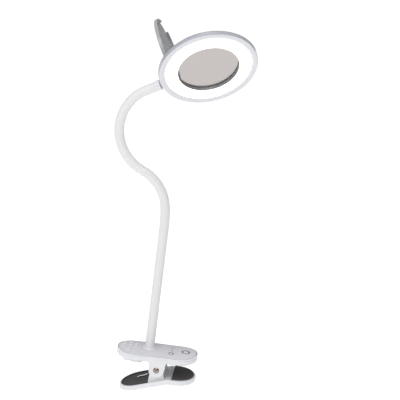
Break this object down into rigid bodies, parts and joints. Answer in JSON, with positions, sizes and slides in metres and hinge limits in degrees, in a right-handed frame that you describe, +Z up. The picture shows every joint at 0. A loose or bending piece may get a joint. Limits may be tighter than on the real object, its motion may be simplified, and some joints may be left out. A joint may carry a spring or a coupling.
{
  "type": "magnifying lamp",
  "caption": "Clip-on magnifying lamp: a spring clamp and a bendable gooseneck carry a lit ring head with a glass lens and a hinged lens cover.",
  "frame": {"origin": "on the face of the upper jaw pad, below the clamp's centre line, where the clamp sits on the desk edge", "axes": "+X along the clamp from the handle end to the jaw tip, +Z up out of the clamp along the foot of the neck, -Y towards the front"},
  "size_m": [0.1597, 0.1154, 0.4549],
  "materials": {
    "white_plastic": "satin",
    "grey_plastic": "satin",
    "dark_plastic": "matte",
    "dark_rubber": "matte",
    "pad_rubber": "matte",
    "neck_sleeve": "satin",
    "neck_steel": "brushed",
    "spring_steel": "polished",
    "chrome": "polished",
    "nylon": "matte",
    "brass": "satin",
    "battery_wrap": "satin",
    "circuit_board": "satin",
    "black_plastic": "matte",
    "clear_plastic": "gloss",
    "lead_insulation": "satin",
    "led": "gloss",
    "diffuser": "satin",
    "lens_glass": "polished"
  },
  "bodies": {
    "clamp_base": {"top_panel": "grey_plastic", "upper_housing": "white_plastic", "lower_housing": "white_plastic", "grip_dots": "grey_plastic", "neck_collar": "white_plastic", "neck_nut": "brass", "battery": "battery_wrap", "control_board": "circuit_board", "board_chips": "black_plastic", "usb_socket": "neck_steel", "tact_switches": "neck_steel", "indicator_lights": "clear_plastic", "base_leads": "lead_insulation", "housing_screws": "neck_steel", "upper_jaw_pad": "pad_rubber", "pivot_pin": "chrome", "pivot_nut": "chrome", "torsion_spring": "spring_steel", "neck_core_0": "neck_steel", "neck_sleeve_0": "neck_sleeve"},
    "power_button": {"power_button": "white_plastic", "power_button_ring": "dark_plastic"},
    "mode_button": {"mode_button": "white_plastic", "mode_button_ring": "dark_plastic"},
    "clamp_jaw": {"lower_lever": "white_plastic", "lower_handle_pad": "dark_rubber", "lower_jaw_pad": "pad_rubber", "pivot_bush": "nylon"},
    "neck_1": {"neck_core_1": "neck_steel", "neck_sleeve_1": "neck_sleeve"},
    "neck_2": {"neck_core_2": "neck_steel", "neck_sleeve_2": "neck_sleeve"},
    "neck_3": {"neck_core_3": "neck_steel", "neck_sleeve_3": "neck_sleeve"},
    "neck_4": {"neck_core_4": "neck_steel", "neck_sleeve_4": "neck_sleeve"},
    "neck_5": {"neck_core_5": "neck_steel", "neck_sleeve_5": "neck_sleeve"},
    "neck_6": {"neck_core_6": "neck_steel", "neck_sleeve_6": "neck_sleeve"},
    "neck_7": {"neck_core_7": "neck_steel", "neck_sleeve_7": "neck_sleeve"},
    "head": {"neck_core_8": "neck_steel", "neck_sleeve_8": "neck_sleeve", "head_collar": "white_plastic", "front_bezel": "white_plastic", "diffuser_ring": "diffuser", "led_board": "circuit_board", "led_chips": "led", "back_cover": "grey_plastic", "lens": "lens_glass", "lens_retainer": "grey_plastic", "head_screws": "neck_steel", "lid_hinge_pin": "neck_steel", "head_leads": "lead_insulation"},
    "lens_lid": {"lens_lid": "grey_plastic", "lid_bumper": "dark_rubber"}
  },
  "joints": [
    {"name": "jaw_pivot", "type": "hinge", "parent": "clamp_base", "child": "clamp_jaw", "pos_m": [-0.0291, 0, -0.0088], "axis": [0, 1, 0], "range_deg": [-22.5, 24], "stiffness_Nm_per_rad": 0.4, "springref_deg": -45.84, "deforming": ["torsion_spring"]},
    {"name": "power_press", "type": "slide", "parent": "clamp_base", "child": "power_button", "axis": [0, 0, -1], "range_m": [0, 0.0006], "stiffness_N_per_m": 1500},
    {"name": "mode_press", "type": "slide", "parent": "clamp_base", "child": "mode_button", "axis": [0, 0, -1], "range_m": [0, 0.0006], "stiffness_N_per_m": 1500},
    {"name": "neck_bend_1", "type": "hinge", "parent": "clamp_base", "child": "neck_1", "pos_m": [-0.04121, 0, 0.03852], "axis": [0, 1, 0], "range_deg": [-25, 25]},
    {"name": "neck_bend_2", "type": "hinge", "parent": "neck_1", "child": "neck_2", "pos_m": [-0.03964, 0, 0.08356], "axis": [0.9994, 0, -0.0349], "range_deg": [-25, 25]},
    {"name": "neck_bend_3", "type": "hinge", "parent": "neck_2", "child": "neck_3", "pos_m": [-0.03807, 0, 0.12859], "axis": [0, -1, 0], "range_deg": [-25, 25]},
    {"name": "neck_bend_4", "type": "hinge", "parent": "neck_3", "child": "neck_4", "pos_m": [-0.03664, 0, 0.17363], "axis": [-1, 0, -0.0037], "range_deg": [-25, 25]},
    {"name": "neck_bend_5", "type": "hinge", "parent": "neck_4", "child": "neck_5", "pos_m": [-0.04734, 0, 0.2165], "axis": [0, 1, 0], "range_deg": [-25, 25]},
    {"name": "neck_bend_6", "type": "hinge", "parent": "neck_5", "child": "neck_6", "pos_m": [-0.0831, 0, 0.24321], "axis": [0.6935, 0, 0.7204], "range_deg": [-25, 25]},
    {"name": "neck_bend_7", "type": "hinge", "parent": "neck_6", "child": "neck_7", "pos_m": [-0.09946, 0, 0.28378], "axis": [0, -1, 0], "range_deg": [-25, 25]},
    {"name": "neck_bend_8", "type": "hinge", "parent": "neck_7", "child": "head", "pos_m": [-0.08008, 0, 0.323], "axis": [-0.637, 0, 0.7709], "range_deg": [-25, 25]},
    {"name": "lid_hinge", "type": "hinge", "parent": "head", "child": "lens_lid", "pos_m": [-0.04047, 0.00475, 0.34976], "axis": [-0.3266, -0.6947, 0.6409], "range_deg": [-90, 15]}
  ]
}
